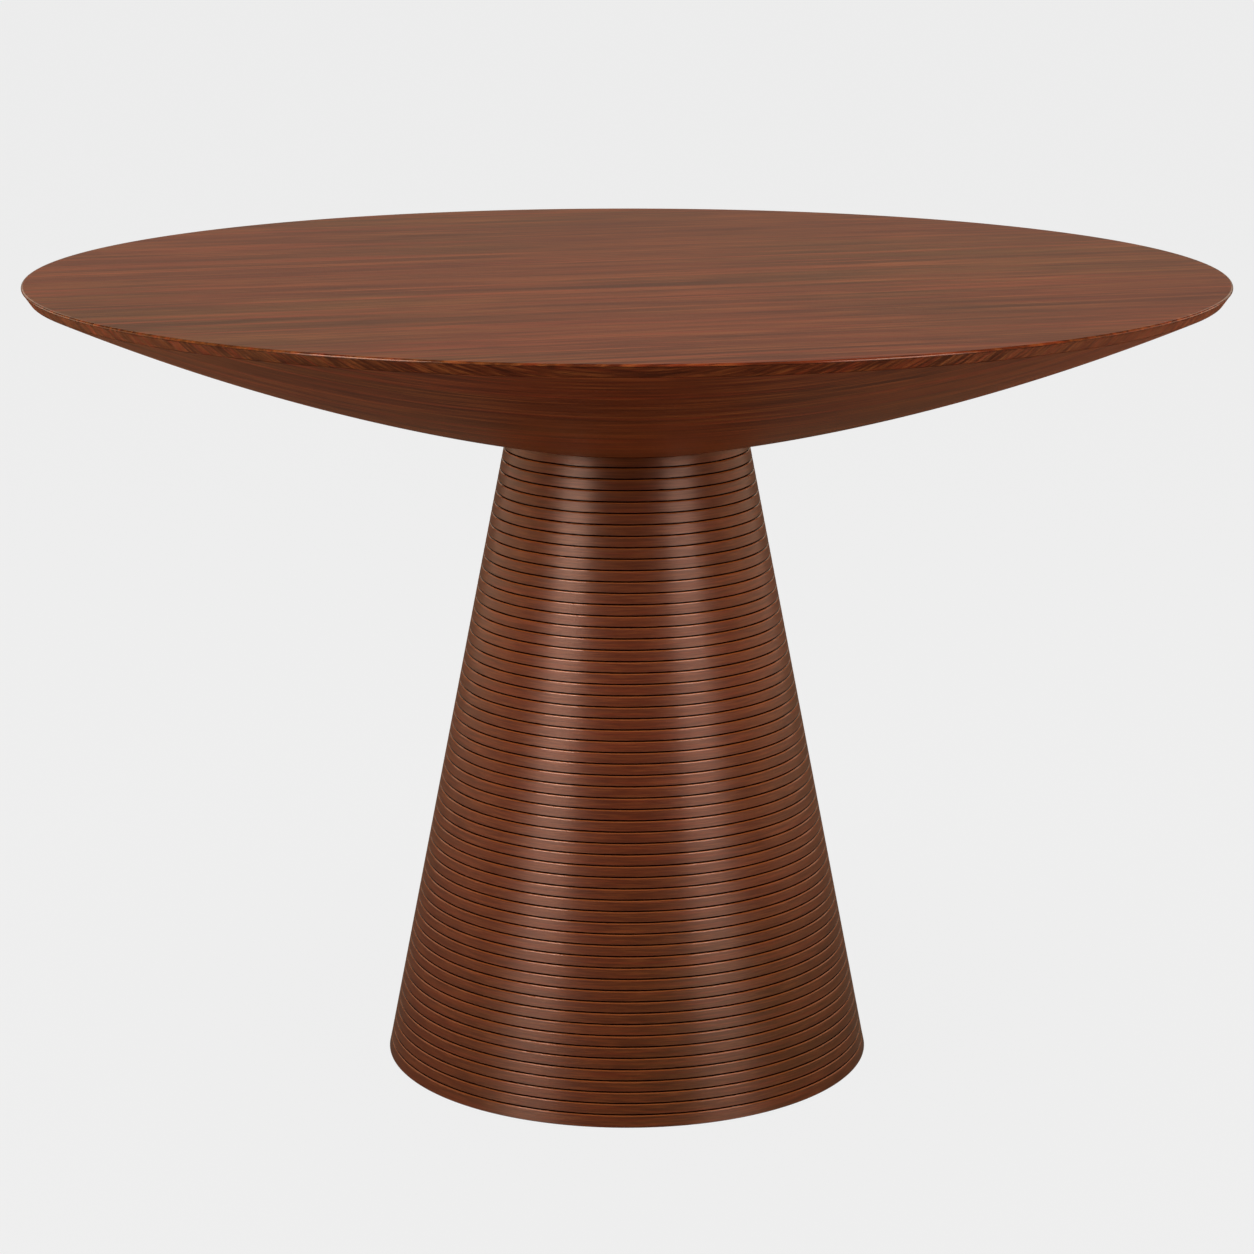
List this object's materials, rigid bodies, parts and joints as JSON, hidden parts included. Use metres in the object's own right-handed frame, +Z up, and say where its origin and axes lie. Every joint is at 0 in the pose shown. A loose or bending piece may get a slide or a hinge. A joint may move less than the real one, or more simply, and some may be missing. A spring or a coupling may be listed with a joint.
{
  "type": "tilt top table",
  "caption": "Round dining table: a dished wooden top with a thin lip tips up on a hidden rear hinge over a grooved conical pedestal with screw feet and a sliding lock bolt.",
  "frame": {"origin": "on the floor under the middle of the pedestal", "axes": "+Z up; -Y is the front, the hinge is on the +Y side; +X to the right seen from the front"},
  "size_m": [1.1174, 1.1176, 0.762],
  "materials": {
    "top_veneer": "satin walnut-stained veneer",
    "edge_wood": "satin stained solid wood",
    "bowl_veneer": "satin walnut-stained veneer",
    "pedestal_veneer": "satin walnut-stained veneer, grooved",
    "fibreboard": "raw board",
    "plywood": "raw birch plywood",
    "hardwood": "oiled beech",
    "zinc_steel": "zinc plated",
    "black_steel": "black paint",
    "bronzed_steel": "dark bronze finish",
    "rubber": "matt",
    "foot_plastic": "moulded"
  },
  "bodies": {
    "pedestal": {"pedestal_core": "plywood", "pedestal_skin": "pedestal_veneer", "pedestal_fin_1": "plywood", "pedestal_fin_2": "plywood", "pedestal_fin_3": "plywood", "pedestal_fin_4": "plywood", "tie_rods": "zinc_steel", "tie_washers": "zinc_steel", "tie_nuts": "zinc_steel", "head_block": "plywood", "foot_inserts": "zinc_steel", "ballast_bolts": "zinc_steel", "base_plate": "fibreboard", "ballast_plate_1": "black_steel", "ballast_plate_2": "black_steel", "seat_pads": "rubber", "fixed_leaf_screws": "bronzed_steel", "hinge_fixed_leaf": "bronzed_steel", "hinge_pin": "bronzed_steel", "guide_screws": "zinc_steel", "bolt_guides": "hardwood", "bolt_bush": "bronzed_steel"},
    "table_top": {"top_veneer": "top_veneer", "top_panel": "fibreboard", "edge_lipping": "edge_wood", "bowl_shell": "bowl_veneer", "rib_1": "plywood", "rib_2": "plywood", "rib_3": "plywood", "rib_4": "plywood", "rib_5": "plywood", "rib_6": "plywood", "rib_7": "plywood", "rib_8": "plywood", "hub": "plywood", "neck_plate": "plywood", "hub_bolts": "zinc_steel", "hub_inserts": "zinc_steel", "hinge_moving_leaf": "bronzed_steel", "moving_leaf_screws": "bronzed_steel", "keeper": "bronzed_steel", "keeper_screws": "zinc_steel", "stop_buffers": "rubber", "buffer_screws": "zinc_steel"},
    "lock_bolt": {"bolt_rod": "bronzed_steel", "bolt_knob": "bronzed_steel", "bolt_collar": "zinc_steel", "collar_screw": "zinc_steel"},
    "foot_1": {"foot_pad_1": "foot_plastic", "foot_stem_1": "zinc_steel"},
    "foot_2": {"foot_pad_2": "foot_plastic", "foot_stem_2": "zinc_steel"},
    "foot_3": {"foot_pad_3": "foot_plastic", "foot_stem_3": "zinc_steel"},
    "foot_4": {"foot_pad_4": "foot_plastic", "foot_stem_4": "zinc_steel"}
  },
  "joints": [
    {"name": "top_tilt", "type": "hinge", "parent": "pedestal", "child": "table_top", "pos_m": [0, 0.131, 0.604], "axis": [-1, 0, 0], "range_deg": [0, 90]},
    {"name": "lock_slide", "type": "slide", "parent": "pedestal", "child": "lock_bolt", "axis": [0, -1, 0], "range_m": [0, 0.009]},
    {"name": "foot_1_screw", "type": "slide", "parent": "pedestal", "child": "foot_1", "axis": [0, 0, -1], "range_m": [0, 0.012]},
    {"name": "foot_2_screw", "type": "slide", "parent": "pedestal", "child": "foot_2", "axis": [0, 0, -1], "range_m": [0, 0.012]},
    {"name": "foot_3_screw", "type": "slide", "parent": "pedestal", "child": "foot_3", "axis": [0, 0, -1], "range_m": [0, 0.012]},
    {"name": "foot_4_screw", "type": "slide", "parent": "pedestal", "child": "foot_4", "axis": [0, 0, -1], "range_m": [0, 0.012]}
  ]
}
